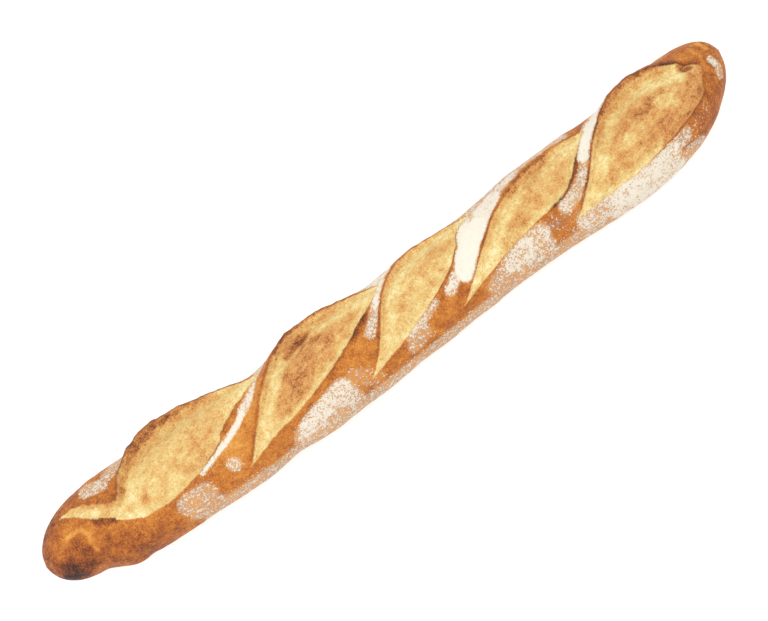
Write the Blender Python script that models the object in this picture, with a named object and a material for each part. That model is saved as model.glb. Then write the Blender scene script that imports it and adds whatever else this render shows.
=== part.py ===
"""A baguette: one long loaf, scored with five slanting cuts that opened in the oven.

The loaf lies along X on a flattened underside, and its ears stand on the +Y side. It is a loft
between ring sections. Each section begins as a plain rounded loaf profile; the cuts, their ears,
the swollen crumb inside them, the folds at both ends and the unevenness of hand-shaped dough
then raise or lower the profile along its own normal.
"""

import math
from typing import NamedTuple

import bmesh
import bpy
import numpy as np
from mathutils import Vector, noise

# Driving sizes, in millimetres.
MM = 0.001
LENGTH = 560.0
WIDEST_LINE = 21.0  # height of each section's widest line above the table
CROWN = 26.0  # from the widest line up to the uncut top
KEEL = 24.0  # from the widest line down to where dough would reach if the table were not there
SHOULDER = 0.9  # under 1 makes the flanks fuller than an ellipse
LEFT_CAP = 66.0  # lengths of the rounded ends
RIGHT_CAP = 72.0

# Half width and sideways drift of the middle line, at stations along the loaf.
HALF_WIDTH = ((-280, 35), (-250, 31.5), (-228, 32), (-200, 32.5), (-160, 33.5), (-125, 32.5), (-98, 29),
              (-82, 31.8), (-60, 32.8), (-12, 31.5), (35, 31), (75, 30), (120, 31.8), (150, 32.3), (180, 32.2),
              (220, 32), (246, 33.5), (280, 35))
DRIFT = ((-280, 6.5), (-250, 7.5), (-228, 5), (-200, 2), (-160, 0.5), (-125, -1.7), (-97, -2.7),
         (-60, -1.7), (-12, -1.8), (35, -0.3), (75, 0.3), (120, 1.2), (150, 0.5), (180, -1.2),
         (220, 3), (246, 9.2), (280, 19))


class Cut(NamedTuple):
    """An opened cut. Places are (x in mm, angle in degrees round from the top; minus is the -Y side)."""

    start: tuple
    ear_handles: tuple  # Bezier handles of the edge that carries the ear
    lip_handles: tuple  # Bezier handles of the lower edge
    end: tuple
    ear: float  # height of the ear above the uncut loaf, in mm
    swell: float  # how far the loaf bulges out behind the ear
    belly: float  # height of the swollen crumb
    lip: float  # height of the rolled lower edge
    peak: float  # share of the way along the cut at which the ear stands highest
    back: tuple  # length of the ear's back slope at the start and from the middle on


CUTS = (
    Cut((-220, -15), ((-203, 10), (-193, 86)), ((-178, -70), (-92, 38)), (-91, 46),
        ear=8.8, swell=1.6, belly=3.2, lip=1.6, peak=0.33, back=(3.0, 15.0)),
    Cut((-131, -54), ((-90, 20), (-72, 86)), ((-128, -44), (-12, -10)), (6, 38),
        ear=7.0, swell=1.2, belly=3.4, lip=2.4, peak=0.55, back=(4.5, 14.0)),
    Cut((-34, -56), ((2, -2), (10, 82)), ((104, 16), (40, 14)), (82, 42),
        ear=3.6, swell=0.8, belly=2.6, lip=1.8, peak=0.55, back=(4.0, 11.0)),
    Cut((42, -56), ((72, -12), (90, 35)), ((138, 10), (122, -56)), (174, 38),
        ear=4.6, swell=1.7, belly=2.8, lip=2.6, peak=0.6, back=(4.0, 12.0)),
    Cut((134, -51), ((178, 14), (200, 100)), ((285, -26), (236, -52)), (261, -5),
        ear=7.4, swell=2.4, belly=3.0, lip=1.2, peak=0.58, back=(4.5, 13.0)),
)
# The short tear that runs from the first cut towards the left end.
TEAR = Cut((-253, 28), ((-240, 36), (-228, 2)), ((-246, 22), (-224, -32)), (-190, -12),
           ear=2.2, swell=0.0, belly=0.4, lip=1.8, peak=0.55, back=(5.0, 5.0))

# Share of an edge's full height along the cut, from its start (0) to its end (1).
PEAK = 0.55
EAR_RISE = ((0, 0.25), (0.15, 0.3), (0.28, 0.55), (0.42, 0.9), (0.55, 1), (0.7, 0.85), (0.87, 0.4), (1, 0.1))
LIP_RISE = ((0, 0.35), (0.3, 0.4), (0.6, 0.55), (0.8, 1), (0.92, 0.6), (1, 0.1))
SINK = 1.3  # how far the crumb lies under the crust along the lower edge of a cut
WALL = 4.0  # width over which the inside of an ear climbs
LIP_WALL = 2.0
LIP_BACK = 5.0
TAPER = 5.0  # width of opening at which a cut's relief has mostly grown in


class Dome(NamedTuple):
    """A blister or a hollow: a smooth bump of the given height and radii."""

    x: float
    angle: float
    along: float
    around: float
    height: float


DOMES = (
    Dome(-66, 6, 30, 13, 2.2),
    Dome(-158, 12, 34, 15, 1.8),
    Dome(40, 12, 22, 12, 1.0),
    Dome(118, 12, 30, 10, 1.2),
    Dome(196, -14, 15, 10, 2.0),
    Dome(222, -2, 13, 9, 1.6),
    Dome(246, -16, 10, 9, 1.0),
    Dome(-224, 45, 14, 12, 1.6),
    Dome(-228, -98, 12, 14, 1.8),
    Dome(252, 40, 16, 12, 1.2),
)


class Fold(NamedTuple):
    """A crease across the loaf where the end of the dough was rolled shut."""

    x: float
    lean: float  # how far it slants along X over 90 degrees
    width: float
    depth: float
    low: float  # angles between which it runs
    high: float


FOLDS = (
    Fold(-246, 1, 7.0, 1.6, -160, -30),
    Fold(-246, -5, 2.2, 0.9, -75, 5),
    Fold(267, -3, 2.0, 0.8, -50, 55),
)

# Hand-shaped dough is uneven: (size of the unevenness, its height), in mm.
LUMPS = ((70.0, 1.5), (24.0, 0.7))

COLUMNS = 420
ROWS = 150
FINE_ANGLES = 1081
UNDERSIDE_SHARE = 0.35  # how densely rows are set on the underside, against the rest
TRIANGLES = 11700


def smooth_curve(stations, at):
    """A smooth curve through (place, value) stations: cubic spans, with slopes from their neighbours."""
    place, value = np.asarray(stations, float).T
    slope = np.gradient(value, place)
    at = np.clip(at, place[0], place[-1])
    i = np.clip(np.searchsorted(place, at) - 1, 0, len(place) - 2)
    span = place[i + 1] - place[i]
    t = (at - place[i]) / span
    return (
        (1 + 2 * t) * (1 - t) ** 2 * value[i]
        + t * (1 - t) ** 2 * span * slope[i]
        + t * t * (3 - 2 * t) * value[i + 1]
        + t * t * (t - 1) * span * slope[i + 1]
    )


def smooth_step(t):
    t = np.clip(t, 0, 1)
    return t * t * (3 - 2 * t)


def bezier_edge(start, handles, end, x):
    """Angle of a cut's edge at each x."""
    t = np.linspace(0, 1, 101)[:, None]
    a, b, c, d = (np.array(p, float) for p in (start, *handles, end))
    curve = (1 - t) ** 3 * a + 3 * (1 - t) ** 2 * t * b + 3 * (1 - t) * t * t * c + t**3 * d
    return np.interp(x, curve[:, 0], curve[:, 1])


def cap_share(x):
    """How much of the full section is left at x: quarter ellipses at the two ends."""
    left = np.clip((x + LENGTH / 2) / LEFT_CAP, 0, 1)
    right = np.clip((LENGTH / 2 - x) / RIGHT_CAP, 0, 1)
    return np.sqrt(1 - (1 - left) ** 2) * np.sqrt(1 - (1 - right) ** 2)


def plain_sections(x, angle):
    """Uncut profile at each x: y, z, and the unit normal in the section's plane."""
    share = cap_share(x)
    half = smooth_curve(HALF_WIDTH, x) * share
    side = np.sign(np.sin(angle)) * np.abs(np.sin(angle)) ** SHOULDER
    upright = np.sign(np.cos(angle)) * np.abs(np.cos(angle)) ** SHOULDER
    y = smooth_curve(DRIFT, x) + half * side
    z = WIDEST_LINE + np.where(upright > 0, CROWN, KEEL) * share * upright
    dy, dz = np.gradient(y, axis=1), np.gradient(z, axis=1)
    length = np.hypot(dy, dz)
    return y, z, -dz / length, dy / length


def cut_edges(cut, x, angle, arc):
    """Distances in mm from a cut's ear edge (plus is behind it) and lip edge (plus is inside), and the
    share of the way along the cut."""
    along = (x - cut.start[0]) / (cut.end[0] - cut.start[0])
    distances = []
    for handles in (cut.ear_handles, cut.lip_handles):
        edge = np.radians(bezier_edge(cut.start, handles, cut.end, x[:, 0]))
        at = np.array([np.interp(e, angle[0], row) for e, row in zip(edge, arc)])
        slant = 1 / np.hypot(1, np.gradient(at, x[:, 0]))
        distances.append((arc - at[:, None]) * slant[:, None])
    return distances[0], distances[1], along


def cut_relief(cut, x, angle, arc):
    """What one cut does to the surface: the crust's extra height, the crumb's height, and how much crust
    shows, from 0 on open crumb to 1 on crust."""
    ear_gap, lip_gap, along = cut_edges(cut, x, angle, arc)
    reach = np.where((along > 0) & (along < 1), 1.0, 0.0)
    opening = np.clip(lip_gap - ear_gap, 0, None)
    grown = reach * (1 - np.exp(-opening / TAPER))
    rise = np.clip(along, 0, 1) ** (math.log(PEAK) / math.log(cut.peak))
    ear = cut.ear * smooth_curve(EAR_RISE, rise) * grown
    lip = cut.lip * smooth_curve(LIP_RISE, along) * grown
    back = cut.back[0] + (cut.back[1] - cut.back[0]) * smooth_step((along - 0.12) / 0.3)
    crust = ear * (1 - smooth_step(np.abs(ear_gap) / back)) + lip * (1 - smooth_step(np.abs(lip_gap) / LIP_BACK))
    across = np.clip(lip_gap / np.maximum(opening, 0.1), 0, 1)
    crumb = grown * (cut.belly * np.sin(math.pi * across**0.8) - SINK * (1 - 0.8 * across))
    inside = (ear_gap < 0) & (lip_gap > 0) & (reach > 0)
    edge = np.maximum(smooth_step(1 + ear_gap / WALL), smooth_step(1 - lip_gap / LIP_WALL))
    return crust, crumb, np.where(inside, edge, 1.0)


def bump(distance):
    """A smooth bump of height 1 that ends at distance 1."""
    return np.clip(1 - distance**2, 0, None) ** 2


def relief(x, angle, arc):
    """Height added to the plain profile, in mm."""
    crust = np.zeros_like(arc)
    crumb = np.full_like(arc, -SINK)
    shows = np.ones_like(arc)
    degrees = np.degrees(angle)
    for cut in (*CUTS, TEAR):
        raised, inner, edge = cut_relief(cut, x, angle, arc)
        crust += raised
        crumb = np.where(edge < 1, np.maximum(crumb, inner), crumb)
        shows = np.minimum(shows, edge)
        middle = (cut.start[0] + cut.end[0]) / 2
        half = (cut.end[0] - cut.start[0]) / 2
        crust += cut.swell * bump((x - middle) / half) * bump((degrees - 55) / 60)
    height = crust * shows + crumb * (1 - shows)
    size = (arc[:, -1] - arc[:, 0])[:, None] / 360
    for dome in DOMES:
        far = np.hypot((x - dome.x) / dome.along, (degrees - dome.angle) * size / dome.around)
        height += dome.height * bump(far)
    for fold in FOLDS:
        centre = fold.x + fold.lean * degrees / 90
        fade = smooth_step((degrees - fold.low) / 30) * smooth_step((fold.high - degrees) / 30)
        height -= fold.depth * fade * np.exp(-(((x - centre) / fold.width) ** 2))
    return height


def lumps(x, y, z):
    """Unevenness of the dough at one point, in mm."""
    return sum(height * noise.noise(Vector((x, y, z)) / size) for size, height in LUMPS)


def loaf_rings():
    """Points of each ring section from the left end to the right, in mm."""
    turn = np.linspace(0, math.pi, COLUMNS + 2)[1:-1]
    even = np.linspace(-1, 1, COLUMNS + 2)[1:-1]
    x = (LENGTH / 2 * (0.75 * even - 0.25 * np.cos(turn)))[:, None]
    angle = np.linspace(-math.pi, math.pi, FINE_ANGLES)[None, :]
    y, z, normal_y, normal_z = plain_sections(x, angle)
    step = np.hypot(np.diff(y, axis=1), np.diff(z, axis=1))
    arc = np.concatenate([np.zeros_like(x), np.cumsum(step, axis=1)], axis=1)
    arc -= arc[:, [FINE_ANGLES // 2]]
    height = relief(x, angle, arc)
    y = y + height * normal_y
    z = z + height * normal_z
    rings = []
    for i in range(COLUMNS):
        step = np.hypot(np.diff(y[i]), np.diff(z[i]))
        low = np.abs(angle[0, 1:]) > math.radians(115)
        travel = np.concatenate([[0], np.cumsum(step * np.where(low, UNDERSIDE_SHARE, 1.0))])
        at = np.linspace(0, travel[-1], ROWS + 1)[:-1]
        ring_y = np.interp(at, travel, y[i])
        ring_z = np.interp(at, travel, z[i])
        rings.append([(x[i, 0], a, b) for a, b in zip(ring_y, ring_z)])
    return rings


def press_flat(bm):
    """Adds the dough's unevenness, then flattens the underside on the table."""
    bm.normal_update()
    moves = [vert.normal * lumps(*vert.co) for vert in bm.verts]
    for vert, move in zip(bm.verts, moves):
        vert.co += move
        vert.co.z = max(vert.co.z, 0.0)


def centre(bm):
    """Puts the middle of the loaf's box on the Z axis."""
    for axis in range(2):
        places = [vert.co[axis] for vert in bm.verts]
        middle = (min(places) + max(places)) / 2
        for vert in bm.verts:
            vert.co[axis] -= middle


def loaf_mesh():
    """The loft between the rings, closed by a fan at each tip."""
    bm = bmesh.new()
    rings = [[bm.verts.new(point) for point in ring] for ring in loaf_rings()]
    for left, right in zip(rings, rings[1:]):
        for j in range(ROWS):
            k = (j + 1) % ROWS
            # the diagonals run the way the cuts slant
            bm.faces.new((left[j], right[j], right[k]))
            bm.faces.new((left[j], right[k], left[k]))
    for ring, end, turn in ((rings[0], -1, 1), (rings[-1], 1, -1)):
        middle = sum((vert.co for vert in ring), Vector()) / ROWS
        tip = bm.verts.new((end * LENGTH / 2, middle.y, middle.z))
        for j in range(ROWS):
            bm.faces.new((tip, ring[j], ring[(j + 1) % ROWS])[::turn])
    bmesh.ops.recalc_face_normals(bm, faces=bm.faces)
    press_flat(bm)
    centre(bm)
    bmesh.ops.scale(bm, vec=(MM, MM, MM), verts=bm.verts)
    mesh = bpy.data.meshes.new("loaf")
    bm.to_mesh(mesh)
    bm.free()
    mesh.shade_smooth()
    return mesh


def crust_material():
    material = bpy.data.materials.new("crust")
    material.use_nodes = True
    shader = material.node_tree.nodes["Principled BSDF"]
    shader.inputs["Base Color"].default_value = (0.60, 0.28, 0.08, 1)
    shader.inputs["Roughness"].default_value = 0.65
    shader.inputs["Metallic"].default_value = 0.0
    return material


def main():
    for obj in list(bpy.data.objects):
        bpy.data.objects.remove(obj)
    group = bpy.data.collections.new("baguette")
    bpy.context.scene.collection.children.link(group)
    loaf = bpy.data.objects.new("loaf", loaf_mesh())
    group.objects.link(loaf)
    loaf.data.materials.append(crust_material())
    fewer = loaf.modifiers.new("Fewer faces", "DECIMATE")
    fewer.ratio = TRIANGLES / (2 * ROWS * COLUMNS)
    fewer.use_collapse_triangulate = True


main()
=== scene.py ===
"""The looks of a baguette: a fine mesh of the loaf, its baked crust, open crumb and flour.

The fine mesh follows the same named sizes as the solid, with ragged edges, wrinkles and rough crumb
added. Four numbers on its vertices say how the surface is finished: how far inside an opened cut
a point lies, how dark the crust and the crumb are baked there, with painted shade added in creases
and hollows at the cuts, and how much flour lies on it.
The material turns them into colour, gloss and fine relief.
"""

import math
from typing import NamedTuple

import bpy
import numpy as np
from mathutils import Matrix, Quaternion, Vector, noise


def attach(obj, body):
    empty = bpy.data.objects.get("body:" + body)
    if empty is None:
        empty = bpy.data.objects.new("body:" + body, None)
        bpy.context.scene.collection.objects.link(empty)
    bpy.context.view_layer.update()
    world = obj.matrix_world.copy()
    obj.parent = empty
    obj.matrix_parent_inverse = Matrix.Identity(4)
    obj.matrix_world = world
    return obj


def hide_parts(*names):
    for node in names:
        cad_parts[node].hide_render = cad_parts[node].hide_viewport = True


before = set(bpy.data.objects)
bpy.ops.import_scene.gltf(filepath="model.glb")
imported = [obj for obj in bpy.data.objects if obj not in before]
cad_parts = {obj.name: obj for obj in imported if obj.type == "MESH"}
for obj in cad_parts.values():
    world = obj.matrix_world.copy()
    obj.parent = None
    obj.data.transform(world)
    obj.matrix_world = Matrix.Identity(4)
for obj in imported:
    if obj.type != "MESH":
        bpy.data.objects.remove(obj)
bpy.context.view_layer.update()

# Shape of the loaf, in millimetres: the same values as its solid's.
MM = 0.001
LENGTH = 560.0
WIDEST_LINE = 21.0  # height of each section's widest line above the table
CROWN = 26.0  # from the widest line up to the uncut top
KEEL = 24.0  # from the widest line down to where dough would reach if the table were not there
SHOULDER = 0.9  # under 1 makes the flanks fuller than an ellipse
LEFT_CAP = 66.0  # lengths of the rounded ends
RIGHT_CAP = 72.0

# Half width and sideways drift of the middle line, at stations along the loaf.
HALF_WIDTH = (
    (-280, 35), (-250, 31.5), (-228, 32), (-200, 32.5), (-160, 33.5), (-125, 32.5), (-98, 29),
    (-82, 31.8), (-60, 32.8), (-12, 31.5), (35, 31), (75, 30), (120, 31.8), (150, 32.3),
    (180, 32.2), (220, 32), (246, 33.5), (280, 35),
)
DRIFT = (
    (-280, 6.5), (-250, 7.5), (-228, 5), (-200, 2), (-160, 0.5), (-125, -1.7), (-97, -2.7),
    (-60, -1.7), (-12, -1.8), (35, -0.3), (75, 0.3), (120, 1.2), (150, 0.5), (180, -1.2),
    (220, 3), (246, 9.2), (280, 19),
)


class Cut(NamedTuple):
    """An opened cut. Places are (x in mm, angle in degrees round from the top; minus is the -Y side)."""

    start: tuple
    ear_handles: tuple  # Bezier handles of the edge that carries the ear
    lip_handles: tuple  # Bezier handles of the lower edge
    end: tuple
    ear: float  # height of the ear above the uncut loaf, in mm
    swell: float  # how far the loaf bulges out behind the ear
    belly: float  # height of the swollen crumb
    lip: float  # height of the rolled lower edge
    peak: float  # share of the way along the cut at which the ear stands highest
    back: tuple  # length of the ear's back slope at the start and from the middle on
    scorch: float  # how far the inside of the ear is browned, in mm
    gold: float  # how deeply the crumb is coloured
    ragged: float  # how far its edges wander


CUTS = (
    Cut((-220, -15), ((-203, 10), (-193, 86)), ((-178, -70), (-92, 38)), (-91, 46),
        ear=8.8, swell=1.6, belly=3.2, lip=1.6, peak=0.33, back=(3.0, 15.0),
        scorch=1.5, gold=0.4, ragged=1.0),
    Cut((-131, -54), ((-90, 20), (-72, 86)), ((-128, -44), (-12, -10)), (6, 38),
        ear=7.0, swell=1.2, belly=3.4, lip=2.4, peak=0.55, back=(4.5, 14.0),
        scorch=0.6, gold=0.55, ragged=0.5),
    Cut((-34, -56), ((2, -2), (10, 82)), ((104, 16), (40, 14)), (82, 42),
        ear=3.6, swell=0.8, belly=2.6, lip=1.8, peak=0.55, back=(4.0, 11.0),
        scorch=0.4, gold=0.42, ragged=0.5),
    Cut((42, -56), ((72, -12), (90, 35)), ((138, 10), (122, -56)), (174, 38),
        ear=4.6, swell=1.7, belly=2.8, lip=2.6, peak=0.6, back=(4.0, 12.0),
        scorch=0.5, gold=0.5, ragged=0.5),
    Cut((134, -51), ((178, 14), (200, 100)), ((285, -26), (236, -52)), (261, -5),
        ear=7.4, swell=2.4, belly=3.0, lip=1.2, peak=0.58, back=(4.5, 13.0),
        scorch=1.0, gold=0.52, ragged=0.6),
)
# The short tear that runs from the first cut towards the left end.
TEAR = Cut((-253, 28), ((-240, 36), (-228, 2)), ((-246, 22), (-224, -32)), (-190, -12),
           ear=2.2, swell=0.0, belly=0.4, lip=1.8, peak=0.55, back=(5.0, 5.0),
           scorch=0.3, gold=0.38, ragged=2.6)

# Share of an edge's full height along the cut, from its start (0) to its end (1).
EAR_RISE = (
    (0, 0.25), (0.15, 0.3), (0.28, 0.55), (0.42, 0.9), (0.55, 1), (0.7, 0.85), (0.87, 0.4), (1, 0.1),
)
LIP_RISE = ((0, 0.35), (0.3, 0.4), (0.6, 0.55), (0.8, 1), (0.92, 0.6), (1, 0.1))
PEAK = 0.55  # where EAR_RISE is highest: each cut is stretched so that its own peak falls there
BACK_GROWS = (0.12, 0.3)  # where along a cut the ear's back slope starts to widen, and over what share
WALL = 4.0  # width over which the inside of an ear climbs
LIP_WALL = 2.0  # and the inside of a lower edge
LIP_BACK = 5.0  # width of a lower edge's slope down to the crust
TAPER = 5.0  # width of opening at which a cut's relief has mostly grown in
NARROWEST = 0.1  # least width of an opening that is divided by
SINK = 1.3  # how far the crumb lies under the crust along the lower edge of a cut
SINK_FADE = 0.8  # share of the sink that is gone at the ear
BELLY_LEAN = 0.8  # under 1 sets the crumb's highest line nearer to the lower edge
FAR_OUTSIDE = -99.0  # distance inside an opening where there is none near
SWELL_ANGLE = 55.0  # the loaf bulges out most at this angle behind an ear
SWELL_REACH = 60.0  # and the bulge ends this many degrees from there
FOLD_FADE = 30.0  # degrees over which the ends of a fold fade out


class Dome(NamedTuple):
    """A blister or a hollow: a smooth bump of the given height and radii."""

    x: float
    angle: float
    along: float
    around: float
    height: float


DOMES = (
    Dome(-66, 6, 30, 13, 2.2),
    Dome(-158, 12, 34, 15, 1.8),
    Dome(40, 12, 22, 12, 1.0),
    Dome(118, 12, 30, 10, 1.2),
    Dome(196, -14, 15, 10, 2.0),
    Dome(222, -2, 13, 9, 1.6),
    Dome(246, -16, 10, 9, 1.0),
    Dome(-224, 45, 14, 12, 1.6),
    Dome(-228, -98, 12, 14, 1.8),
    Dome(252, 40, 16, 12, 1.2),
)


class Fold(NamedTuple):
    """A crease across the loaf where the end of the dough was rolled shut."""

    x: float
    lean: float  # how far it slants along X over 90 degrees
    width: float
    depth: float
    low: float  # angles between which it runs
    high: float


FOLDS = (
    Fold(-246, 1, 7.0, 1.6, -160, -30),
    Fold(-246, -5, 2.2, 0.9, -75, 5),
    Fold(267, -3, 2.0, 0.8, -50, 55),
)

# Hand-shaped dough is uneven: (size of the unevenness, its height), in mm.
LUMPS = ((70.0, 1.5), (24.0, 0.7))
WRINKLES = (9.0, 0.28)  # the crust's
PORES = (4.5, 0.5)  # the crumb's
CREASES = (7.0, 0.6)  # the crumb's too
CRAGS = (2.6, 0.35)  # along the edges of the cuts
CRAG_WIDTH = 2.2  # width over which the crags fade out, in mm
CRUMB_EDGE = 2.0  # width over which wrinkled crust gives way to rough crumb, in mm
DRAWN_OUT = (0.45, 1, 1)  # the crumb's roughness is drawn out along the loaf
PORES_AT = 500  # shifts that keep the layers of unevenness apart
CREASES_AT = 200
CRAGS_AT = 900

COLUMNS = 640  # rings of vertices along the loaf
ROWS = 150  # vertices in each ring
FINE_ANGLES = 1081  # points round each section, from which the rows are set
CROWDING = 0.25  # how much the rings crowd towards the ends of the loaf: 0 sets them evenly
UNDERSIDE_SHARE = 0.35  # how densely rows are set on the underside, against the rest
UNDERSIDE = 115.0  # angle from the top beyond which the loaf rests on its base

# Torn edges wander: (size along the edge, how far it wanders), in mm.
WANDER = ((11.0, 0.9), (4.0, 0.6), (1.8, 0.4))
RIM_UNEVEN = ((14.0, 0.16), (5.0, 0.12))  # (size, share of the ear's height)


class Stroke(NamedTuple):
    """A patch of finish or relief along a line of places (x in mm, angle in degrees)."""

    points: tuple
    width: float  # full strength over this width, in mm
    soft: float  # and from there it fades out over this distance
    strength: float


# Where flour lies, and how densely, from 0 to 1.
FLOUR = (
    Stroke(((-157, -23), (-145, -15), (-135, -10), (-124, -3), (-114, 6)), 2.0, 2.8, 0.8),
    Stroke(((-114, 6), (-105, 18), (-99, 32), (-88, 61)), 3.4, 3.6, 0.66),
    Stroke(((-137, -36),), 5, 6, 0.55),
    Stroke(((-176, -50), (-164, -50)), 12, 8, 0.42),
    Stroke(((-175, -70), (-160, -76)), 8, 8, 0.42),
    Stroke(((-228, 36), (-217, 30)), 6, 6, 0.48),
    Stroke(((-209, 42), (-200, 60)), 6, 7, 0.5),
    Stroke(((-86, -58), (-76, -50), (-62, -44), (-52, -40)), 9, 6, 0.62),
    Stroke(((-88, -68), (-52, -62)), 13, 8, 0.5),
    Stroke(((-41, -38), (-30, -58)), 8, 8, 0.33),
    Stroke(((-17, -6), (-10, 2), (-4, 12)), 4, 5, 0.55),
    Stroke(((-3, 16), (4, 26), (8, 34)), 5, 4, 0.75),
    Stroke(((3, -41), (16, -32), (27, -24)), 3, 6, 0.54),
    Stroke(((2, -56), (12, -50)), 6, 8, 0.4),
    Stroke(((41, -26), (50, -15)), 4, 4, 0.66),
    Stroke(((57, -18), (62, -6), (70, 6), (80, 16)), 12, 3, 0.94),
    Stroke(((80, 16), (92, 28), (98, 34)), 11, 5, 0.74),
    Stroke(((65, 19), (73, 29)), 6, 3, 0.82),
    Stroke(((80, 30), (98, 38), (118, 44)), 7, 6, 0.66),
    Stroke(((-2, 50), (14, 50), (38, 52)), 7, 7, 0.7),
    Stroke(((72, 46), (86, 50), (114, 52), (140, 52), (156, 50)), 10, 6, 0.54),
    Stroke(((68, -64), (80, -54)), 10, 8, 0.42),
    Stroke(((86, -50), (96, -44), (108, -38)), 12, 6, 0.6),
    Stroke(((88, -66), (108, -58)), 10, 7, 0.5),
    Stroke(((133, -27), (146, -20), (156, -10), (163, 2)), 6, 5, 0.58),
    Stroke(((163, 10), (170, 20), (181, 36)), 9, 5, 0.88),
    Stroke(((181, 36), (190, 52), (197, 68)), 9, 8, 0.74),
    Stroke(((116, -42), (126, -46), (132, -56)), 12, 8, 0.27),
    Stroke(((143, -62), (160, -60)), 17, 6, 0.56),
    Stroke(((168, -56), (190, -58), (206, -56)), 16, 7, 0.67),
    Stroke(((166, -84), (204, -84)), 18, 9, 0.66),
    Stroke(((212, -48), (222, -50)), 8, 7, 0.5),
    Stroke(((183, -38), (197, -38)), 4, 4, 0.6),
    Stroke(((228, -57), (246, -54)), 4, 8, 0.24),
    Stroke(((269, -10), (270, -33), (267, -50)), 2.5, 3.5, 0.55),
    Stroke(((-165, -92), (-94, -96), (-3, -96), (60, -94), (130, -90), (225, -92)), 16, 9, 0.44),
)
# Where the crust is baked darker, or paler where the strength is below 0. A few of the dark lines are
# partly painted shade.
BAKED_AND_SHADED = (
    Stroke(((-266, -56), (-260, -68)), 5, 11, 0.26),
    Stroke(((-279, 0), (-277, -60), (-270, -80)), 6, 12, 0.1),
    Stroke(((-250, -18), (-248, -38), (-250, -54)), 3, 6, 0.14),
    Stroke(((-270, 10), (-268, -50)), 22, 24, 0.13),
    Stroke(((-238, -62), (-225, -70), (-205, -78)), 14, 16, 0.17),
    Stroke(((-240, 60), (-262, 40)), 6, 14, 0.1),
    Stroke(((232, -62), (256, -50)), 12, 16, 0.12),
    Stroke(((-95, 75), (-165, 84)), 10, 12, 0.06),
    Stroke(((-232, -3), (-226, -10), (-219, -13)), 2, 4, 0.3),
    Stroke(((-200, -44), (-172, -60)), 12, 12, -0.03),
    # Darker crust, with painted shade in the crease that runs down to the small hole near the right end.
    Stroke(((240, 27), (250, 13), (256, 3)), 1.5, 4, 0.18),
    Stroke(((262, 0), (262, -14)), 3, 6, 0.12),
    Stroke(((238, 34), (244, 24)), 3, 5, 0.16),
    # Thin dark lines along the late parts of two lower edges: browned crust edge, and painted shade under
    # the lifted edge.
    Stroke(((-30, -3), (-22, 3), (-12, 10)), 1.0, 2.5, 0.2),
    Stroke(((128, -19), (133, -17), (141, -11), (150, -2), (157, 8)), 1.4, 2.5, 0.2),
    Stroke(((272, 26), (277, 0), (272, -40)), 4, 8, 0.07),
    Stroke(((-120, -20), (-98, 2), (-80, 14)), 8, 8, -0.04),
    Stroke(((-40, -34), (-26, -14)), 12, 8, -0.08),
    Stroke(((100, 16), (125, 30), (150, 37)), 2, 5, -0.12),
    Stroke(((-142, -26), (-117, -10), (-98, 14)), 10, 8, -0.14),
    Stroke(((-254, -2), (-243, -3), (-241, -16), (-242, -30), (-242, -40)), 0.6, 2.5, -0.26),
    Stroke(((-258, -4), (-254, 12)), 4, 8, -0.1),
    Stroke(((269, 42), (272, 14)), 1.0, 2, -0.34),
    Stroke(((262, 30), (264, 6), (262, -14), (266, -34)), 1.0, 2, -0.22),
)
# The same for the crumb.
TOAST = (
    Stroke(((-70, 0), (-60, 12), (-48, 20)), 9, 10, 0.09),
    Stroke(((-72, -4), (-66, -1)), 3, 7, 0.08),
    Stroke(((-86, -12), (-70, 30), (-46, 20)), 4, 10, 0.08),
    Stroke(((195, 18), (205, 20), (212, 12)), 7, 8, 0.1),
    Stroke(((176, 2), (186, 10)), 5, 5, 0.14),
    Stroke(((160, -26), (182, -24), (200, -24), (222, -22)), 5, 6, 0.07),
    Stroke(((206, 2), (214, 0)), 4, 5, 0.1),
    Stroke(((191, -8),), 5, 5, -0.24),
    Stroke(((222, -1), (230, -8)), 4, 4, -0.16),
    Stroke(((238, -22), (246, -16), (250, -8)), 4, 6, 0.1),
    Stroke(((248, -3), (251, -10)), 3, 4, 0.12),
    Stroke(((96, -4), (101, -10), (109, 2), (117, 6), (127, 14)), 0.8, 3, 0.12),
    Stroke(((87, -29), (101, -26)), 2, 4, 0.14),
    Stroke(((113, 15), (140, 25)), 4, 6, 0.1),
    Stroke(((36, 17), (62, 27)), 4, 7, 0.1),
    Stroke(((-208, -14),), 2.5, 2, 0.24),
    Stroke(((-196, -12),), 3, 3, 0.24),
    Stroke(((-160, -8), (-140, 6)), 6, 8, 0.08),
    Stroke(((-190, 26), (-175, 38), (-150, 42), (-125, 42)), 3, 7, 0.12),
    Stroke(((-196, -24), (-170, -28), (-150, -18)), 4, 6, 0.06),
)
# Places where the crumb is at least this dark: browned, and at two places also painted shade.
BROWNED_AND_SHADED = (
    Stroke(((212, -40), (234, -40), (248, -34), (258, -18), (258, -4)), 5, 9, 0.68),
    # A dark spot in the small hole near the right end: browned crumb and painted shade in the hole.
    Stroke(((247, 12), (253, 2)), 1.5, 4, 0.88),
    Stroke(((250, -6), (252, -12)), 3, 4, 0.68),
    # A dark spot under the second cut's ear: toasted crumb, and painted shade under the overhang.
    Stroke(((-68, 32), (-60, 37), (-53, 39)), 3, 8, 0.84),
    Stroke(((-214, 5), (-207, 8)), 3, 5, 0.62),
)
# Fine sunken and raised lines, in mm.
DENTS = (
    Stroke(((96, -4), (101, -10), (109, 2), (117, 6)), 0.6, 1.8, -0.7),
    Stroke(((251, 8),), 2, 5, -2.4),
    Stroke(((248, -5),), 1, 4, -1.2),
    Stroke(((-254, -2), (-243, -3), (-241, -16), (-242, -40)), 0.5, 2.0, 0.4),
)

# Where the crust of the first bridge laps over the opening as a tongue: from and to x, and how far.
TONGUE = (-136.0, -106.0, 2.5)
TONGUE_TIP = 3.0  # length over which the tongue sets in
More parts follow.
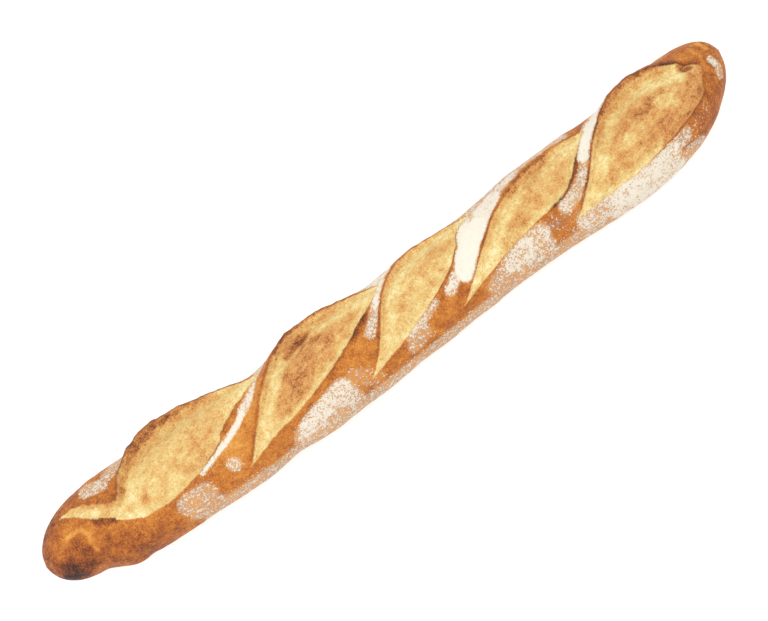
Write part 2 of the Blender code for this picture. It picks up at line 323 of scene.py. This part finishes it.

# How dark crust and crumb are baked, from 0 (palest) to 1 (burnt), and the widths of the bands, in mm.
# Along the rims and lower edges of the cuts, part of that darkness is painted shade in the creases.
CRUST_BAKE = 0.42
# The next two darken the rim of an ear and the late part of a lower edge: partly browner crust, partly
# painted shade in the creases at those edges.
RIM_BAKE_AND_SHADE = 0.3  # added along the rim of a high ear
SEAM_BAKE_AND_SHADE = 0.2  # added along the late part of a lower edge
HIGH_EAR = 8.0  # an ear at least this high has the darkest rim
RIM_SETBACK = 0.3  # the rim is darkest this far behind the ear's edge
RIM_WIDTH = 1.5
SEAM_WIDTH = 1.2
SEAM_STARTS = (0.35, 0.3)  # where along a cut the seam sets in, and over what share of it
SEAM_ENDS = (0.88, 0.1)
CRUMB_PALE = 0.29
PALE_BAND = 9.0  # width of the pale band at the foot of an ear
PALE_SOFT = 5.0
LIP_PALE = 1.0  # width of the pale line along the lower edge
LIP_BAND = 5.0
SCORCH = 0.5  # how dark the inside of an ear is scorched
SCORCH_SOFT = 1.2
SCORCH_STARTS = (0.16, 0.12)  # where along a cut the scorch sets in, and over what share of it
GOLDEN_RIM = 0.2  # how much deeper the crumb is coloured in a narrow band inside an ear
GOLDEN_WIDTH = 2.0
GOLDEN_SOFT = 2.5

# Flour on the base: how much, from which angle on, and over how many degrees it sets in.
BASE_FLOUR = 0.5
BASE_FLOUR_FROM = 108.0
BASE_FLOUR_SOFT = 16.0
RUBBED_OFF = 0.85  # share of the flour that is gone from sharp rims


def smooth_curve(stations, at):
    """A smooth curve through (place, value) stations: cubic spans, with slopes from their neighbours."""
    place, value = np.asarray(stations, float).T
    slope = np.gradient(value, place)
    at = np.clip(at, place[0], place[-1])
    i = np.clip(np.searchsorted(place, at) - 1, 0, len(place) - 2)
    span = place[i + 1] - place[i]
    t = (at - place[i]) / span
    return (
        (1 + 2 * t) * (1 - t) ** 2 * value[i]
        + t * (1 - t) ** 2 * span * slope[i]
        + t * t * (3 - 2 * t) * value[i + 1]
        + t * t * (t - 1) * span * slope[i + 1]
    )


def smooth_step(t):
    t = np.clip(t, 0, 1)
    return t * t * (3 - 2 * t)


def past(along, span):
    """Smooth step from 0 to 1 over a (start, length) span."""
    start, length = span
    return smooth_step((along - start) / length)


def bump(distance):
    """A smooth bump of height 1 that ends at distance 1."""
    return np.clip(1 - distance**2, 0, None) ** 2


def wander(x, layers, seed):
    """Unevenness along a line, in the units of the layers' heights."""
    heights = []
    for at in x:
        heights.append(sum(high * noise.noise(Vector((at / size, seed, size))) for size, high in layers))
    return np.array(heights)


def cloud(points, size, octaves=1):
    """Soft three-dimensional noise at points, from about -1 to 1."""
    return np.array([noise.fractal(Vector(p) / size, 1.0, 2.0, octaves) for p in points])


def bezier_edge(start, handles, end, x):
    """Angle of a cut's edge at each x."""
    t = np.linspace(0, 1, 101)[:, None]
    a, b, c, d = (np.array(p, float) for p in (start, *handles, end))
    curve = (1 - t) ** 3 * a + 3 * (1 - t) ** 2 * t * b + 3 * (1 - t) * t * t * c + t**3 * d
    return np.interp(x, curve[:, 0], curve[:, 1])


def cap_share(x):
    """How much of the full section is left at x: quarter ellipses at the two ends."""
    left = np.clip((x + LENGTH / 2) / LEFT_CAP, 0, 1)
    right = np.clip((LENGTH / 2 - x) / RIGHT_CAP, 0, 1)
    return np.sqrt(1 - (1 - left) ** 2) * np.sqrt(1 - (1 - right) ** 2)


def plain_sections(x, angle):
    """Uncut profile at each x: y, z, and the unit normal in the section's plane."""
    share = cap_share(x)
    half = smooth_curve(HALF_WIDTH, x) * share
    side = np.sign(np.sin(angle)) * np.abs(np.sin(angle)) ** SHOULDER
    upright = np.sign(np.cos(angle)) * np.abs(np.cos(angle)) ** SHOULDER
    y = smooth_curve(DRIFT, x) + half * side
    z = WIDEST_LINE + np.where(upright > 0, CROWN, KEEL) * share * upright
    dy, dz = np.gradient(y, axis=1), np.gradient(z, axis=1)
    length = np.hypot(dy, dz)
    return y, z, -dz / length, dy / length


def cut_edges(cut, x, angle, arc):
    """Distances in mm from a cut's ear edge (plus is behind it) and lip edge (plus is inside), and the
    share of the way along the cut."""
    along = (x - cut.start[0]) / (cut.end[0] - cut.start[0])
    distances = []
    for side, handles in enumerate((cut.ear_handles, cut.lip_handles)):
        edge = np.radians(bezier_edge(cut.start, handles, cut.end, x[:, 0]))
        at = np.array([np.interp(e, angle[0], row) for e, row in zip(edge, arc)])
        slant = 1 / np.hypot(1, np.gradient(at, x[:, 0]))
        ragged = cut.ragged * wander(x[:, 0], WANDER, 10 * cut.start[0] + side)
        if cut is CUTS[0] and side == 1:
            first, last, reach = TONGUE
            share = past(x[:, 0], (first, TONGUE_TIP)) * (1 - past(x[:, 0], (first, last - first)))
            at = at + reach * share
        distances.append((arc - (at + ragged)[:, None]) * slant[:, None])
    return distances[0], distances[1], along


class Surface(NamedTuple):
    """What the cuts do to the surface, at every point of the fine sections."""

    height: np.ndarray  # above the plain profile, in mm
    inside: np.ndarray  # distance inside the nearest opening, in mm
    bake: np.ndarray
    toast: np.ndarray
    rim: np.ndarray  # how close the edge of an ear or lip is, from 0 to 1


def cut_relief(cut, x, angle, arc):
    """What one cut does to the surface: the crust's extra height, the crumb's height, how much crust
    shows, from 0 on open crumb to 1 on crust, and its share of the finish."""
    ear_gap, lip_gap, along = cut_edges(cut, x, angle, arc)
    reach = np.where((along > 0) & (along < 1), 1.0, 0.0)
    opening = np.clip(lip_gap - ear_gap, 0, None)
    grown = reach * (1 - np.exp(-opening / TAPER))
    rise = np.clip(along, 0, 1) ** (math.log(PEAK) / math.log(cut.peak))
    wavy = 1 + wander(x[:, 0], RIM_UNEVEN, cut.start[0])[:, None]
    ear_rise = smooth_curve(EAR_RISE, rise) * grown
    lip_rise = smooth_curve(LIP_RISE, along) * grown
    back = cut.back[0] + (cut.back[1] - cut.back[0]) * past(along, BACK_GROWS)
    crust = cut.ear * ear_rise * wavy * (1 - smooth_step(np.abs(ear_gap) / back))
    crust += cut.lip * lip_rise * wavy * (1 - smooth_step(np.abs(lip_gap) / LIP_BACK))
    across = np.clip(lip_gap / np.maximum(opening, NARROWEST), 0, 1)
    crumb = grown * (cut.belly * np.sin(math.pi * across**BELLY_LEAN) - SINK * (1 - SINK_FADE * across))
    depth = np.where(reach > 0, np.minimum(-ear_gap, lip_gap), FAR_OUTSIDE)
    edge = np.maximum(smooth_step(1 + ear_gap / WALL), smooth_step(1 - lip_gap / LIP_WALL))
    shows = np.where(depth > 0, edge, 1.0)
    behind = np.where(ear_gap > 0, ear_gap - RIM_SETBACK, ear_gap)
    rim = grown * np.exp(-((behind / RIM_WIDTH) ** 2))
    late = past(along, SEAM_STARTS) * (1 - past(along, SEAM_ENDS))
    seam = grown * np.exp(-((lip_gap / SEAM_WIDTH) ** 2)) * late
    # Browner crust and painted shade in the creases along the ear's rim and the lower edge's seam.
    bake = RIM_BAKE_AND_SHADE * rim * min(1, cut.ear / HIGH_EAR) + SEAM_BAKE_AND_SHADE * seam
    gold = smooth_step((-ear_gap - PALE_BAND) / PALE_SOFT) * smooth_step((lip_gap - LIP_PALE) / LIP_BAND)
    scorched = 1 - smooth_step((-ear_gap - cut.scorch * ear_rise) / SCORCH_SOFT)
    browned = scorched * smooth_step(1.8 * ear_rise - 0.35) * past(along, SCORCH_STARTS)
    golden = smooth_step(1.5 * ear_rise) * smooth_step(1 + (ear_gap + GOLDEN_WIDTH) / GOLDEN_SOFT)
    darker = np.maximum(SCORCH * browned, GOLDEN_RIM * golden)
    toast = CRUMB_PALE + (cut.gold - CRUMB_PALE) * gold + darker
    return crust, crumb, shows, depth, bake, toast, np.maximum(rim, seam)


def surface(x, angle, arc):
    """The loaf's relief and finish over its plain profile."""
    crust = np.zeros_like(arc)
    crumb = np.full_like(arc, -SINK)
    shows = np.ones_like(arc)
    inside = np.full_like(arc, FAR_OUTSIDE)
    bake = np.full_like(arc, CRUST_BAKE)
    toast = np.full_like(arc, CRUMB_PALE)
    rim = np.zeros_like(arc)
    degrees = np.degrees(angle)
    for cut in (*CUTS, TEAR):
        raised, inner, edge, depth, browned, toasted, near = cut_relief(cut, x, angle, arc)
        crust += raised
        crumb = np.where(edge < 1, np.maximum(crumb, inner), crumb)
        shows = np.minimum(shows, edge)
        toast = np.where(depth > inside, toasted, toast)
        inside = np.maximum(inside, depth)
        # The cut's darkening of the crust, partly painted shade along its rims and seams.
        bake += browned
        rim = np.maximum(rim, near)
        middle = (cut.start[0] + cut.end[0]) / 2
        half = (cut.end[0] - cut.start[0]) / 2
        crust += cut.swell * bump((x - middle) / half) * bump((degrees - SWELL_ANGLE) / SWELL_REACH)
    height = crust * shows + crumb * (1 - shows)
    mm_per_degree = (arc[:, -1] - arc[:, 0])[:, None] / 360
    for dome in DOMES:
        around = (degrees - dome.angle) * mm_per_degree
        far = np.hypot((x - dome.x) / dome.along, around / dome.around)
        height += dome.height * bump(far)
    for fold in FOLDS:
        centre = fold.x + fold.lean * degrees / 90
        fade = smooth_step((degrees - fold.low) / FOLD_FADE)
        fade *= smooth_step((fold.high - degrees) / FOLD_FADE)
        height -= fold.depth * fade * np.exp(-(((x - centre) / fold.width) ** 2))
    return Surface(height, inside, bake, toast, rim)


class Skin(NamedTuple):
    """The vertices of the loaf, ring by ring from the left end, and what is known at each."""

    points: np.ndarray  # in mm, shaped (rings, rows, 3)
    degrees: np.ndarray
    arc: np.ndarray  # distance round from the top, in mm
    inside: np.ndarray
    bake: np.ndarray
    toast: np.ndarray
    rim: np.ndarray


def fine_sections():
    """Rings of vertices, set evenly over the top and sparsely underneath."""
    turn = np.linspace(0, math.pi, COLUMNS + 2)[1:-1]
    even = np.linspace(-1, 1, COLUMNS + 2)[1:-1]
    x = (LENGTH / 2 * ((1 - CROWDING) * even - CROWDING * np.cos(turn)))[:, None]
    angle = np.linspace(-math.pi, math.pi, FINE_ANGLES)[None, :]
    y, z, normal_y, normal_z = plain_sections(x, angle)
    step = np.hypot(np.diff(y, axis=1), np.diff(z, axis=1))
    arc = np.concatenate([np.zeros_like(x), np.cumsum(step, axis=1)], axis=1)
    arc -= arc[:, [FINE_ANGLES // 2]]
    top = surface(x, angle, arc)
    y = y + top.height * normal_y
    z = z + top.height * normal_z
    degrees = np.degrees(angle[0])
    share = np.where(np.abs(degrees[1:]) > UNDERSIDE, UNDERSIDE_SHARE, 1.0)
    columns = []
    for i in range(COLUMNS):
        travel = np.concatenate([[0], np.cumsum(np.hypot(np.diff(y[i]), np.diff(z[i])) * share)])
        at = np.linspace(0, travel[-1], ROWS + 1)[:-1]
        known = (y[i], z[i], degrees, arc[i], top.inside[i], top.bake[i], top.toast[i], top.rim[i])
        columns.append([np.full(ROWS, x[i, 0])] + [np.interp(at, travel, row) for row in known])
    data = np.array(columns).transpose(0, 2, 1)
    return Skin(data[..., :3], *np.moveaxis(data[..., 3:], -1, 0))


def ring_normals(points):
    along = np.gradient(points, axis=0)
    around = (np.roll(points, -1, axis=1) - np.roll(points, 1, axis=1)) / 2
    normal = np.cross(along, around)
    return normal / np.linalg.norm(normal, axis=2, keepdims=True)


def distance_to_line(x, arc, line):
    """Distance in mm, over the surface, from each vertex to a line of (x, arc) points."""
    if len(line) == 1:
        return np.hypot(x - line[0][0], arc - line[0][1])
    nearest = np.full_like(x, 1e9)
    for (ax, ay), (bx, by) in zip(line, line[1:]):
        dx, dy = bx - ax, by - ay
        t = np.clip(((x - ax) * dx + (arc - ay) * dy) / (dx * dx + dy * dy), 0, 1)
        nearest = np.minimum(nearest, np.hypot(x - ax - t * dx, arc - ay - t * dy))
    return nearest


def painted(skin, strokes, join=np.add):
    """How strongly a list of strokes covers each vertex."""
    x = skin.points[..., 0]
    rings = x[:, 0]
    total = np.zeros_like(x)
    for stroke in strokes:
        line = []
        for at, angle in stroke.points:
            ring = int(np.argmin(np.abs(rings - at)))
            line.append((at, np.interp(angle, skin.degrees[ring], skin.arc[ring])))
        far = distance_to_line(x, skin.arc, line)
        total = join(total, stroke.strength * (1 - smooth_step((far - stroke.width / 2) / stroke.soft)))
    return total


def flour_cover(skin):
    """Flour lies in patches on the crust and thinly all over the base, and rubs off the sharp rims."""
    base = BASE_FLOUR * smooth_step((np.abs(skin.degrees) - BASE_FLOUR_FROM) / BASE_FLOUR_SOFT)
    cover = np.maximum(painted(skin, FLOUR, np.maximum), base)
    return cover * (1 - RUBBED_OFF * skin.rim)


def roughened(skin):
    """The vertices with lumps, dents, wrinkles and rough crumb added, and the base flat on the table."""
    points = skin.points.copy()
    normal = ring_normals(points)
    flat = points.reshape(-1, 3)
    shape = points.shape[:2]
    lumps = sum(high * cloud(flat, size) for size, high in LUMPS).reshape(shape)
    points += normal * lumps[..., None]
    middle = (points.reshape(-1, 3).min(0) + points.reshape(-1, 3).max(0)) / 2
    points[..., :2] -= middle[:2]
    crumb = smooth_step(skin.inside / CRUMB_EDGE)
    wrinkle = WRINKLES[1] * cloud(flat, WRINKLES[0], 3)
    drawn = flat * DRAWN_OUT
    pores = PORES[1] * cloud(drawn + PORES_AT, PORES[0], 3)
    creases = CREASES[1] * np.abs(cloud(drawn + CREASES_AT, CREASES[0], 2))
    crag = CRAGS[1] * cloud(flat + CRAGS_AT, CRAGS[0], 2)
    rough = (pores - creases).reshape(shape)
    edge = np.exp(-((skin.inside / CRAG_WIDTH) ** 2))
    fine = wrinkle.reshape(shape) * (1 - crumb) + rough * crumb + crag.reshape(shape) * edge
    fine += painted(skin, DENTS)
    points += normal * fine[..., None]
    points[..., 2] = np.maximum(points[..., 2], 0)
    return points


def loaf_mesh():
    """The loft between the rings, closed by a fan at each tip, with its finish stored on the vertices."""
    skin = fine_sections()
    points = roughened(skin)
    tips = []
    for ring, end in ((points[0], -1), (points[-1], 1)):
        middle = ring.mean(axis=0)
        tips.append((end * LENGTH / 2, middle[1], middle[2]))
    verts = np.concatenate([points.reshape(-1, 3), tips]) * MM
    left_tip = COLUMNS * ROWS
    faces = []
    for i in range(COLUMNS - 1):
        for j in range(ROWS):
            k = (j + 1) % ROWS
            faces.append((i * ROWS + j, i * ROWS + ROWS + j, i * ROWS + ROWS + k, i * ROWS + k))
    last = (COLUMNS - 1) * ROWS
    for j in range(ROWS):
        k = (j + 1) % ROWS
        faces.append((left_tip, j, k))
        faces.append((left_tip + 1, last + k, last + j))
    mesh = bpy.data.meshes.new("baguette")
    mesh.from_pydata(verts.tolist(), [], faces)
    mesh.validate()
    mesh.shade_smooth()
    finish = {
        "inside": np.clip(skin.inside, -20, 20),
        "bake": skin.bake + painted(skin, BAKED_AND_SHADED),
        # The crumb's darkness, which holds painted shade where the browned strokes lie under an ear and
        # in a hole.
        "toast": np.maximum(skin.toast + painted(skin, TOAST), painted(skin, BROWNED_AND_SHADED, np.maximum)),
        "flour": flour_cover(skin),
    }
    for name, values in finish.items():
        layer = mesh.attributes.new(name, "FLOAT", "POINT")
        at_tips = (values[0].mean(), values[-1].mean())
        layer.data.foreach_set("value", np.append(values.ravel(), at_tips).astype(np.float32))
    return mesh


class Graph:
    """Short names for building a material's nodes."""

    def __init__(self, material):
        material.use_nodes = True
        self.tree = material.node_tree
        self.shader = self.tree.nodes["Principled BSDF"]

    def node(self, kind, **settings):
        made = self.tree.nodes.new(kind)
        for name, value in settings.items():
            setattr(made, name, value)
        return made

    def feed(self, socket, value):
        if isinstance(value, bpy.types.NodeSocket):
            self.tree.links.new(value, socket)
        else:
            socket.default_value = value

    def math(self, operation, *values):
        made = self.node("ShaderNodeMath", operation=operation)
        for socket, value in zip(made.inputs, values):
            self.feed(socket, value)
        return made.outputs[0]

    def add(self, *values):
        total = values[0]
        for value in values[1:]:
            total = self.math("ADD", total, value)
        return total

    def times(self, a, b):
        return self.math("MULTIPLY", a, b)

    def attribute(self, name):
        made = self.node("ShaderNodeAttribute", attribute_type="GEOMETRY", attribute_name=name)
        return made.outputs["Fac"]

    def noise(self, size_mm, detail, roughness=0.5, stretch=(1, 1, 1), turn=0.0):
        """Noise from about -0.5 to 0.5, with features of the given size, drawn out and turned about Z."""
        place = self.node("ShaderNodeTexCoord").outputs["Object"]
        if turn:
            turned = self.node("ShaderNodeVectorRotate", rotation_type="Z_AXIS")
            self.feed(turned.inputs["Vector"], place)
            turned.inputs["Angle"].default_value = -turn
            place = turned.outputs[0]
        if stretch != (1, 1, 1):
            scaled = self.node("ShaderNodeVectorMath", operation="MULTIPLY")
            self.feed(scaled.inputs[0], place)
            scaled.inputs[1].default_value = stretch
            place = scaled.outputs[0]
        made = self.node("ShaderNodeTexNoise", noise_dimensions="3D")
        self.feed(made.inputs["Vector"], place)
        made.inputs["Scale"].default_value = 1 / (size_mm * MM)
        made.inputs["Detail"].default_value = detail
        made.inputs["Roughness"].default_value = roughness
        return self.math("SUBTRACT", made.outputs["Fac"], 0.5)

    def step(self, value, low, high):
        """Smooth step from 0 at low to 1 at high."""
        made = self.node("ShaderNodeMapRange", interpolation_type="SMOOTHSTEP")
        self.feed(made.inputs["Value"], value)
        self.feed(made.inputs["From Min"], low)
        self.feed(made.inputs["From Max"], high)
        return made.outputs["Result"]

    def ramp(self, value, stops):
        made = self.node("ShaderNodeValToRGB")
        self.feed(made.inputs["Fac"], value)
        elements = made.color_ramp.elements
        while len(elements) < len(stops):
            elements.new(0.5)
        for element, (place, colour) in zip(elements, stops):
            element.position = place
            element.color = linear(colour)
        return made.outputs["Color"]

    def left(self, value):
        """What is left of 1."""
        return self.math("SUBTRACT", 1.0, value)

    def mix(self, share, a, b):
        """Blend of two colours."""
        made = self.node("ShaderNodeMix", data_type="RGBA")
        self.feed(made.inputs["Factor"], share)
        self.feed(made.inputs[6], a)
        self.feed(made.inputs[7], b)
        return made.outputs[2]


def linear(colour):
    """Screen colour (0 to 255) to the linear values that the renderer works in."""
    values = [c / 255 for c in colour]
    return (*(c / 12.92 if c <= 0.04045 else ((c + 0.055) / 1.055) ** 2.4 for c in values), 1.0)


# Colours from the palest bake (0) to the darkest (1).
CRUST_COLOURS = (
    (0.0, (218, 160, 80)),
    (0.2, (205, 136, 56)),
    (0.4, (186, 110, 41)),
    (0.58, (156, 84, 33)),
    (0.75, (118, 60, 28)),
    (0.9, (80, 42, 26)),
    (1.0, (52, 30, 22)),
)
CRUMB_COLOURS = (
    (0.0, (246, 236, 190)),
    (0.18, (234, 213, 152)),
    (0.34, (223, 192, 122)),
    (0.52, (213, 163, 97)),
    (0.68, (201, 138, 77)),
    (0.84, (166, 104, 57)),
    (1.0, (110, 65, 38)),
)
FLOUR_COLOUR = (234, 229, 213)
FILM_COLOUR = (232, 208, 166)  # flour so thin that the crust shows through

# Sizes of the material's unevenness, in mm, from fine to wide, and how strongly each colours crust and
# crumb.
FINE = 1.0
SMALL = 2.6
MOTTLE = 8.0
CLOUDY = 26.0
CRUST_SPREAD = (0.8, 0.5, 0.75, 0.35)
CRUMB_SPREAD = (0.7, 0.5, 0.65, 0.4)
STREAK = 3.4
STREAK_STRETCH = (0.3, 1, 1)
STREAK_TURN = 0.5  # the streaks run along the cuts: their angle from the X axis, in radians
STREAK_SHARE = 0.4
FLAKE = 1.5
FLAKE_EDGE = (0.12, 0.2)
FLAKE_BAND = (2.0, 9.0)  # flakes thin out between these distances from a cut's edge
FLAKE_DARKNESS = 0.3

# How far the crumb's colour strays over a cut's edge, in mm, and the distances between which it sets in.
STRAY_SMALL = 2.6
STRAY_FINE = 0.8
OPENED = (-0.5, 0.6)

# Flour: the pairs are values between which something sets in, mostly densities of the flour.
CRUMB_BARE = 0.8  # share of the flour that does not lie on crumb
SPECKLES = (1.9, 1.1, 1.1)  # how strongly fine, small and middle unevenness break up its patches
SPECKLE_MIDDLE = 0.5
BARE = 1.33  # how much crust stays bare in a patch, and how fast that shrinks with its density
BARE_SHRINKS = 1.6
PATCH_EDGE = (-0.04, 0.1)
GRAIN = 1.5  # size of single grains, in mm
GRAIN_EDGE = (0.21, 0.27)
GRAINS_GROW = 0.34  # how much thicker the grains lie with the density, up to MOST_GRAINS
MOST_GRAINS = 0.4
GRAINS_FROM = (0.13, 0.22)
FILM_FROM = (0.25, 0.38)
FILM_MOTTLE = 0.4  # how ragged the middle and small unevenness make the film's edge
FILM_SMALL = 0.3
THIN_FLOUR = 0.52  # how white the thinnest flour is, and how much whiter the thickest
THICK_FLOUR = 0.47

SPECULAR = 0.22
ROUGHNESS = 0.55
CRUMB_ROUGHER = 0.12
FLOUR_ROUGHER = 0.2
UNEVEN_ROUGHNESS = 0.25
RELIEF = 1.4  # height of the fine relief, in mm, and the shares of its layers
RELIEF_STRENGTH = 0.8
SMALL_RELIEF = 0.8
CRUMB_RELIEF = 0.8
FINE_RELIEF = 0.6
FLOUR_RELIEF = 0.2


def mottling(g):
    """Four layers of unevenness shared by crust and crumb, from fine to wide, each about -0.5 to 0.5."""
    return g.noise(FINE, 2, 0.7), g.noise(SMALL, 3, 0.6), g.noise(MOTTLE, 4, 0.6), g.noise(CLOUDY, 2)


def spread(g, layers, strengths):
    return g.add(*[g.times(layer, strength) for layer, strength in zip(layers, strengths)])


def crust_colour(g, layers):
    return g.ramp(g.add(g.attribute("bake"), spread(g, layers, CRUST_SPREAD)), CRUST_COLOURS)


def crumb_colour(g, layers):
    """Crumb with streaks along the cuts and small dark flakes near its edges."""
    streaks = g.noise(STREAK, 3, 0.6, stretch=STREAK_STRETCH, turn=STREAK_TURN)
    mottled = spread(g, layers, CRUMB_SPREAD)
    toast = g.add(g.attribute("toast"), mottled, g.times(streaks, STREAK_SHARE))
    near_edge = g.left(g.step(g.attribute("inside"), *FLAKE_BAND))
    flakes = g.times(g.step(g.noise(FLAKE, 2, 0.6), *FLAKE_EDGE), near_edge)
    return g.ramp(g.add(toast, g.times(flakes, FLAKE_DARKNESS)), CRUMB_COLOURS)


def flour_cover_and_film(g, density, layers):
    """Where flour lies thick, as ragged patches and single grains, and where it is a thin film."""
    _, small, mottle, _ = layers
    speckle = g.add(spread(g, layers, SPECKLES), SPECKLE_MIDDLE)
    missing = g.math("SUBTRACT", BARE, g.times(density, BARE_SHRINKS))
    patches = g.step(g.math("SUBTRACT", speckle, missing), *PATCH_EDGE)
    more_grains = g.times(g.math("MINIMUM", density, MOST_GRAINS), GRAINS_GROW)
    grains = g.step(g.add(g.noise(GRAIN, 1), more_grains), *GRAIN_EDGE)
    covered = g.math("MAXIMUM", patches, g.times(grains, g.step(density, *GRAINS_FROM)))
    ragged = g.add(density, g.times(mottle, FILM_MOTTLE), g.times(small, FILM_SMALL))
    film = g.times(g.times(density, g.left(density)), g.step(ragged, *FILM_FROM))
    return covered, film


def loaf_material():
    """Crust and crumb by how far they are baked, plus painted shade at the cuts, with mottling, specks
    and flour.
    """
    material = bpy.data.materials.new("loaf_finish")
    g = Graph(material)
    layers = mottling(g)
    fine, small, _, _ = layers
    inside = g.add(g.attribute("inside"), g.times(small, STRAY_SMALL), g.times(fine, STRAY_FINE))
    opened = g.step(inside, *OPENED)
    baked = g.mix(opened, crust_colour(g, layers), crumb_colour(g, layers))

    density = g.times(g.attribute("flour"), g.left(g.times(opened, CRUMB_BARE)))
    covered, film = flour_cover_and_film(g, density, layers)
    filmed = g.mix(film, baked, linear(FILM_COLOUR))
    flour = g.times(covered, g.add(THIN_FLOUR, g.times(density, THICK_FLOUR)))
    g.feed(g.shader.inputs["Base Color"], g.mix(flour, filmed, linear(FLOUR_COLOUR)))

    crumb_rougher = g.times(opened, CRUMB_ROUGHER)
    flour_rougher = g.times(flour, FLOUR_ROUGHER)
    roughness = g.add(ROUGHNESS, crumb_rougher, flour_rougher, g.times(small, UNEVEN_ROUGHNESS))
    g.feed(g.shader.inputs["Roughness"], roughness)
    g.shader.inputs["Specular IOR Level"].default_value = SPECULAR
    rough = g.times(small, g.add(SMALL_RELIEF, g.times(opened, CRUMB_RELIEF)))
    made = g.node("ShaderNodeBump")
    made.inputs["Strength"].default_value = RELIEF_STRENGTH
    made.inputs["Distance"].default_value = RELIEF * MM
    relief = g.add(rough, g.times(fine, FINE_RELIEF), g.times(covered, FLOUR_RELIEF))
    g.feed(made.inputs["Height"], relief)
    g.feed(g.shader.inputs["Normal"], made.outputs["Normal"])
    return material


def make_loaf():
    loaf = bpy.data.objects.new("baguette", loaf_mesh())
    bpy.context.scene.collection.objects.link(loaf)
    loaf.data.materials.append(loaf_material())
    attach(loaf, "root")
    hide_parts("loaf")


# The photo's camera: a long lens, high on the -Y side, turned about its own axis.
LENS = 90.0
SENSOR = 36.0
IMAGE_WIDTH = 768
PIXEL = 0.658 * MM  # size of a pixel at the loaf
DISTANCE = PIXEL * IMAGE_WIDTH * LENS / SENSOR
HEIGHT_ANGLE = math.radians(68)
ROLL = math.radians(-36.45)
AIM = Vector((0, 0, 0.022))
AIM_PIXEL = (8.2, 9.9)  # where the aim point lies right of and below the picture's middle

FLOOR_REACH = 4.0  # how far the floor reaches from the loaf, in m
FLOOR_COLOUR = (190, 190, 190)
FLOOR_GLOW = 0.6  # lifts the floor to plain white
FLOOR_ROUGHNESS = 0.9


def add_camera():
    camera = bpy.data.objects.new("camera", bpy.data.cameras.new("camera"))
    camera.data.lens = LENS
    camera.data.sensor_width = SENSOR
    back = Vector((0, -math.cos(HEIGHT_ANGLE), math.sin(HEIGHT_ANGLE)))
    turn = (-back).to_track_quat("-Z", "Y") @ Quaternion((0, 0, 1), ROLL)
    camera.rotation_mode = "QUATERNION"
    camera.rotation_quaternion = turn
    right, up = turn @ Vector((1, 0, 0)), turn @ Vector((0, 1, 0))
    camera.location = AIM + back * DISTANCE + (up * AIM_PIXEL[1] - right * AIM_PIXEL[0]) * PIXEL
    bpy.context.scene.collection.objects.link(camera)
    bpy.context.scene.camera = camera


def add_floor():
    mesh = bpy.data.meshes.new("floor")
    corners = [(x * FLOOR_REACH, y * FLOOR_REACH, 0) for x, y in ((-1, -1), (1, -1), (1, 1), (-1, 1))]
    mesh.from_pydata(corners, [], [(0, 1, 2, 3)])
    floor = bpy.data.objects.new("floor", mesh)
    material = bpy.data.materials.new("floor_finish")
    g = Graph(material)
    g.feed(g.shader.inputs["Base Color"], linear(FLOOR_COLOUR))
    g.feed(g.shader.inputs["Emission Color"], (1.0, 1.0, 1.0, 1.0))
    g.feed(g.shader.inputs["Emission Strength"], FLOOR_GLOW)
    g.feed(g.shader.inputs["Roughness"], FLOOR_ROUGHNESS)
    mesh.materials.append(material)
    bpy.context.scene.collection.objects.link(floor)


def add_light(name, place, size, power):
    """A square soft box that faces the loaf, with its place and size in m and its power in W."""
    light = bpy.data.objects.new(name, bpy.data.lights.new(name, "AREA"))
    light.data.size = size
    light.data.energy = power
    light.location = place
    light.rotation_euler = (AIM - Vector(place)).to_track_quat("-Z", "Y").to_euler()
    bpy.context.scene.collection.objects.link(light)


def add_lights():
    """Even white light from all round, and two soft boxes that model the relief."""
    world = bpy.data.worlds.new("studio")
    world.use_nodes = True
    background = world.node_tree.nodes["Background"]
    background.inputs["Color"].default_value = (1.0, 1.0, 1.0, 1)
    background.inputs["Strength"].default_value = 1.0
    bpy.context.scene.world = world
    add_light("key", (-0.8, -0.2, 1.7), 1.0, 12)
    add_light("fill", (1.1, -0.6, 1.4), 1.2, 4)


make_loaf()
add_camera()
add_floor()
add_lights()
bpy.context.scene.view_settings.view_transform = "Standard"
